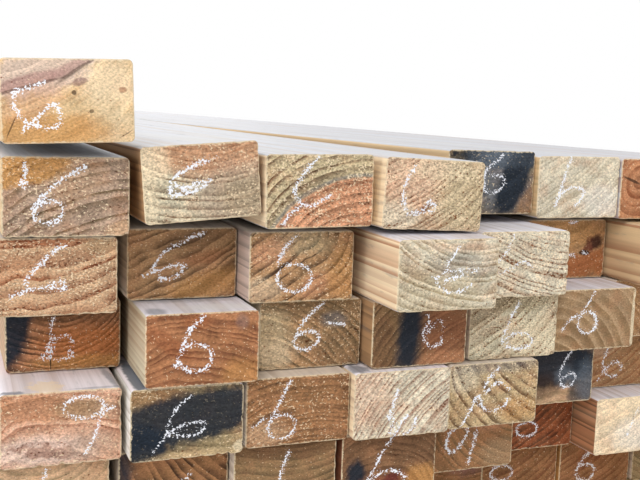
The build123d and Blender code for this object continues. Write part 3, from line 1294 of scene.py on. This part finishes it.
camera_place = Vector((-0.3195, -3.5762, 0.3961))
camera_yaw = math.radians(21.43)      # to the right of the boards' direction
camera_pitch = math.radians(7.82)     # downwards
camera_roll = math.radians(1.95)
camera_lens = 54.4
camera_sensor = 36


def add_camera():
    forward = Vector((
        math.cos(camera_pitch) * math.sin(camera_yaw),
        math.cos(camera_pitch) * math.cos(camera_yaw),
        -math.sin(camera_pitch),
    ))
    level = Vector((math.cos(camera_yaw), -math.sin(camera_yaw), 0))
    upright = level.cross(forward)
    right = math.cos(camera_roll) * level + math.sin(camera_roll) * upright
    up = math.cos(camera_roll) * upright - math.sin(camera_roll) * level
    data = bpy.data.cameras.new("camera")
    data.lens = camera_lens
    data.sensor_width = camera_sensor
    camera = bpy.data.objects.new("camera", data)
    facing = Matrix((right, up, -forward)).transposed().to_4x4()
    camera.matrix_world = Matrix.Translation(camera_place) @ facing
    bpy.context.scene.collection.objects.link(camera)
    bpy.context.scene.camera = camera


# Floor and light

floor_size = 60
floor_spread = (1.0, 0.5, 0.0)      # the pale floor reaches twice as far along the boards as across
floor_fade = (1.7, 3.6)             # where the floor starts to fade, and where it is gone
full_white = (1, 1, 1, 1)
even_light = 0.46                   # strength of the light from all round


def add_floor():
    """Pale floor that keeps the stack's shadow, and for the camera fades into the white round it."""
    bpy.ops.mesh.primitive_plane_add(size=floor_size)
    floor = bpy.context.object
    floor.name = "floor"
    material, nodes = new_material("floor")
    from_stack = (nodes.add("ShaderNodeNewGeometry") * floor_spread).size()
    faded = from_stack.between(*floor_fade) * nodes.rays("Camera")
    matt = nodes.add("ShaderNodeBsdfPrincipled", {"Base Color": "white", "Roughness": 0.8})
    glow = nodes.add("ShaderNodeEmission", {"Color": full_white, "Strength": 1.0})
    mixed = nodes.add("ShaderNodeMixShader", {0: faded, 1: matt, 2: glow})
    nodes.new("ShaderNodeOutputMaterial", {0: mixed})
    floor.data.materials.append(material)


def add_lamp(name, place, target, size, watts):
    """A square soft lamp that faces its target."""
    data = bpy.data.lights.new(name, "AREA")
    data.size = size
    data.energy = watts
    lamp = bpy.data.objects.new(name, data)
    lamp.location = place
    lamp.rotation_mode = "QUATERNION"
    lamp.rotation_quaternion = (Vector(target) - Vector(place)).to_track_quat("-Z", "Y")
    bpy.context.scene.collection.objects.link(lamp)


def add_world():
    """Even light all round, and white where the camera looks past everything."""
    world = bpy.data.worlds.new("studio")
    world.use_nodes = True
    bpy.context.scene.world = world
    world.node_tree.nodes.clear()
    nodes = Nodes(world.node_tree)
    mirrored = nodes.math("MAXIMUM", nodes.rays("Glossy"), nodes.rays("Transmission"))
    seen = nodes.math("MAXIMUM", nodes.rays("Camera"), mirrored)
    strength = seen.between(0.0, 1.0, to=(even_light, 1.0), smooth=False)
    background = nodes.add("ShaderNodeBackground", {"Color": full_white, "Strength": strength})
    nodes.new("ShaderNodeOutputWorld", {0: background})


def main():
    boards = read_boards()
    skin = Skin(boards[0].width, boards[0].height, boards[0].length)
    groups = {"rings": year_rings(), "stain": stain(), "torn": torn_fibres(), "chalk": chalk()}
    chance = random.Random(6)
    for number, board in enumerate(boards):
        look = plain_look(chance)
        seed = number * seeds_apart + 1
        add_board(board, looks.get(board.name, look), skin, groups, seed)
    add_camera()
    add_floor()
    add_lamp("key", (-2.0, -6.0, 3.2), target=(0, -2.8, 0.25), size=2.5, watts=118)
    add_lamp("fill", (3.0, -6.5, 1.4), target=(0, -3.0, 0.2), size=2.5, watts=37)
    add_lamp("left", (-3.6, -3.6, 1.1), target=(0, -2.6, 0.2), size=2.0, watts=34)
    add_lamp("back", (1.5, 6.2, 2.6), target=(0, 3.0, 0.2), size=2.5, watts=60)
    add_lamp("top", (0, 0.5, 3.5), target=(0, 0, 0), size=4.0, watts=90)
    add_world()
    bpy.context.scene.view_settings.view_transform = "Standard"


main()
